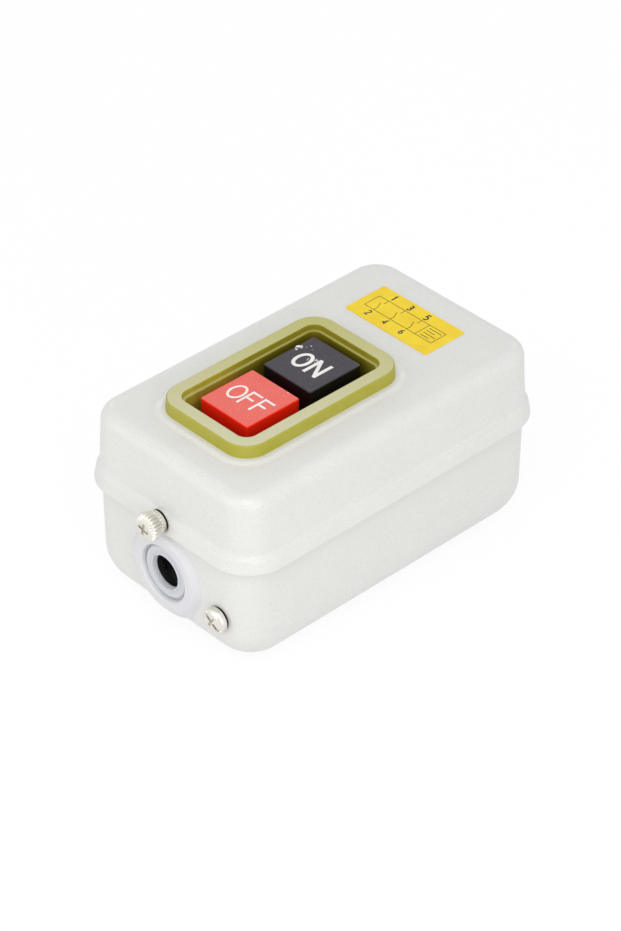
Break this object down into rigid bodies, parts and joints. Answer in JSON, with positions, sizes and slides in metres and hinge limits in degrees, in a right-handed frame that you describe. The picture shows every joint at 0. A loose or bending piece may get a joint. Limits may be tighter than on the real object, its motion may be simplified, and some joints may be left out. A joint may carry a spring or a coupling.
{
  "type": "pushbutton control station",
  "caption": "Surface-mounted pushbutton control station: cast case and lift-off cover, red OFF and black ON buttons in a raised frame, latching contact unit inside.",
  "frame": {"origin": "middle of the back face, on the surface that it is fixed to", "axes": "+Z out of the front, +Y along the case towards the label end, +X to the right when the buttons are read"},
  "size_m": [0.064, 0.116, 0.057],
  "materials": {
    "case_paint": "light grey stoved enamel on cast metal",
    "frame_plastic": "satin moulded plastic, olive yellow",
    "label_yellow": "printed plate, yellow",
    "button_red": "satin moulded plastic",
    "button_black": "satin moulded plastic",
    "bright_nickel": "bright nickel plate",
    "grommet_white": "soft white plastic",
    "zinc_steel": "zinc plate",
    "black_moulding": "thermoset moulding",
    "brown_moulding": "thermoset moulding",
    "contact_silver": "silver contact rivet",
    "spring_steel": "drawn wire",
    "latch_steel": "pressed steel",
    "contact_brass": "rolled brass strip"
  },
  "bodies": {
    "case": {"base_box": "case_paint", "cover": "case_paint", "bezel_frame": "frame_plastic", "rating_label": "label_yellow", "front_grommet": "grommet_white", "rear_grommet": "grommet_white", "earth_screw": "bright_nickel", "earth_washer": "zinc_steel", "switch_block": "black_moulding", "block_screws": "zinc_steel", "guide_housing": "black_moulding", "housing_screws": "zinc_steel", "line_contact_left": "contact_brass", "line_contact_middle": "contact_brass", "line_contact_right": "contact_brass", "load_contact_left": "contact_brass", "load_contact_middle": "contact_brass", "load_contact_right": "contact_brass", "fixed_tips": "contact_silver", "terminal_screws": "zinc_steel", "terminal_clamps": "zinc_steel", "on_return_spring": "spring_steel", "off_return_spring": "spring_steel", "latch_pin": "latch_steel", "latch_spring": "spring_steel"},
    "on_plunger": {"on_button": "button_black", "contact_carrier": "brown_moulding", "contact_bridge_left": "contact_brass", "contact_bridge_middle": "contact_brass", "contact_bridge_right": "contact_brass", "contact_spring_left": "spring_steel", "contact_spring_middle": "spring_steel", "contact_spring_right": "spring_steel", "bridge_tips": "contact_silver"},
    "off_plunger": {"off_button": "button_red", "off_plunger": "brown_moulding"},
    "latch": {"latch_lever": "latch_steel"},
    "front_thumb": {"front_thumb_screw": "bright_nickel"},
    "rear_thumb": {"rear_thumb_screw": "bright_nickel"}
  },
  "joints": [
    {"name": "on_press", "type": "slide", "parent": "case", "child": "on_plunger", "axis": [0, 0, 1], "range_m": [-0.004, 0], "stiffness_N_per_m": 700, "springref_m": 0.004, "deforming": ["on_return_spring"]},
    {"name": "off_press", "type": "slide", "parent": "case", "child": "off_plunger", "axis": [0, 0, 1], "range_m": [-0.003, 0], "stiffness_N_per_m": 700, "springref_m": 0.004, "deforming": ["off_return_spring"]},
    {"name": "latch_swing", "type": "hinge", "parent": "case", "child": "latch", "pos_m": [0, -0.0116, 0.0264], "axis": [1, 0, 0], "range_deg": [0, 19.37], "deforming": ["latch_spring"]},
    {"name": "front_thumb_turn", "type": "hinge", "parent": "case", "child": "front_thumb", "pos_m": [0, -0.053, 0.0345], "axis": [0, -1, 0], "continuous": true},
    {"name": "rear_thumb_turn", "type": "hinge", "parent": "case", "child": "rear_thumb", "pos_m": [0, 0.053, 0.0345], "axis": [0, 1, 0], "continuous": true}
  ],
  "couplings": [
    {"joint": "latch_swing", "follows": "off_press", "rad_per_m": -112.63}
  ]
}
